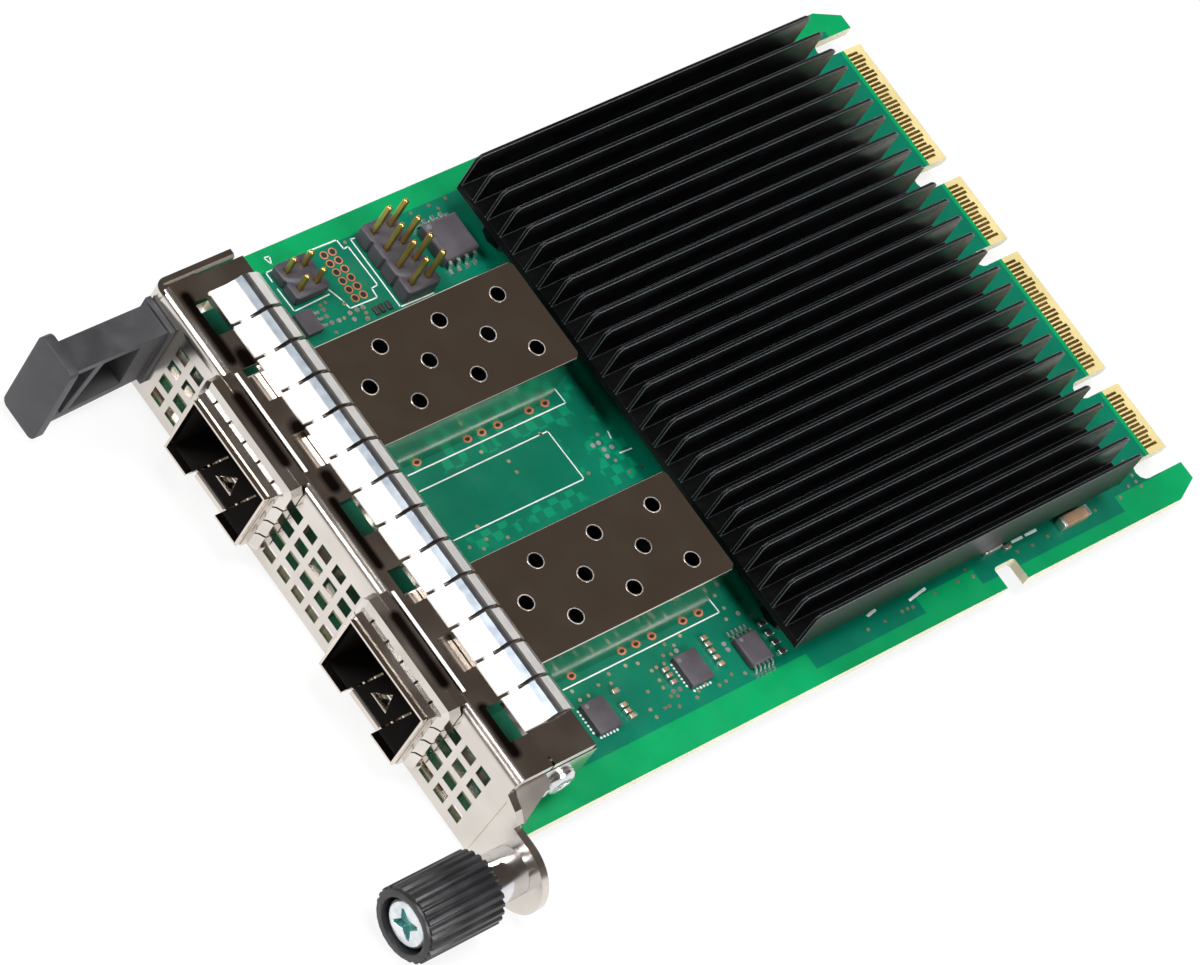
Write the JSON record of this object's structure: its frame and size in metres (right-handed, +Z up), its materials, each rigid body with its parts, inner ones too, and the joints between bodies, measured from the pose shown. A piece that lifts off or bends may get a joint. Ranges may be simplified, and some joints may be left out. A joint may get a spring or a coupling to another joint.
{
  "type": "mezzanine network card",
  "caption": "Mezzanine network card with two port cages behind a folded faceplate, a finned heat sink, a contact edge, a sprung captive thumbscrew and a pull tab.",
  "frame": {"origin": "middle of the card edge between the board's sides, at the inner end of the contacts, on the board's top face", "axes": "+Y along the card from the faceplate to the card edge, +Z up from the board's top face, +X towards the thumbscrew"},
  "size_m": [0.0841, 0.1319, 0.0165],
  "materials": {
    "board": "satin green solder mask",
    "gold": "plated",
    "black_sink": "black anodised satin",
    "chip": "matte",
    "pad": "matte",
    "steel": "bright rolled sheet",
    "spring_steel": "bright",
    "connector_black": "matte",
    "screw_steel": "bright zinc",
    "tab": "fine textured",
    "knob": "satin",
    "chrome": "polished",
    "ceramic": "ceramic with tinned ends",
    "tin": "tinned"
  },
  "bodies": {
    "card": {"circuit_board": "board", "edge_contacts_top": "gold", "edge_contacts_bottom": "gold", "heat_sink": "black_sink", "heat_sink_screws": "screw_steel", "controller_chip": "chip", "thermal_pad": "pad", "port_cage_left": "steel", "port_cage_right": "steel", "port_collar_left": "spring_steel", "port_collar_right": "spring_steel", "port_connector_left": "connector_black", "port_connector_right": "connector_black", "port_contacts_left": "gold", "port_contacts_right": "gold", "bracket": "steel", "bracket_screws": "screw_steel", "side_screw": "screw_steel", "side_screw_nut": "screw_steel", "gasket_strip": "spring_steel", "pull_tab": "tab", "pull_tab_screws": "screw_steel", "thumbscrew_barrel": "chrome", "four_pin_header": "connector_black", "four_pin_header_pins": "gold", "eight_pin_header": "connector_black", "eight_pin_header_pins": "gold", "memory_chip": "chip", "memory_chip_leads": "tin", "regulator_chip": "chip", "regulator_chip_leads": "tin", "small_chip": "chip", "small_chip_leads": "tin", "square_chips": "chip", "chip_capacitors": "ceramic", "chip_resistors": "chip", "large_capacitor": "ceramic", "tan_capacitor": "ceramic"},
    "spring_carriage": {"thumbscrew_spring": "spring_steel"},
    "thumbscrew": {"thumbscrew_knob": "knob", "thumbscrew_screw": "screw_steel"}
  },
  "joints": [
    {"name": "thumbscrew_push", "type": "slide", "parent": "card", "child": "spring_carriage", "axis": [0, 1, 0], "range_m": [0, 0.0044], "stiffness_N_per_m": 400, "deforming": ["thumbscrew_spring"]},
    {"name": "thumbscrew_turn", "type": "hinge", "parent": "spring_carriage", "child": "thumbscrew", "pos_m": [0.04095, -0.124, 0.00085], "axis": [0, 1, 0], "continuous": true}
  ]
}
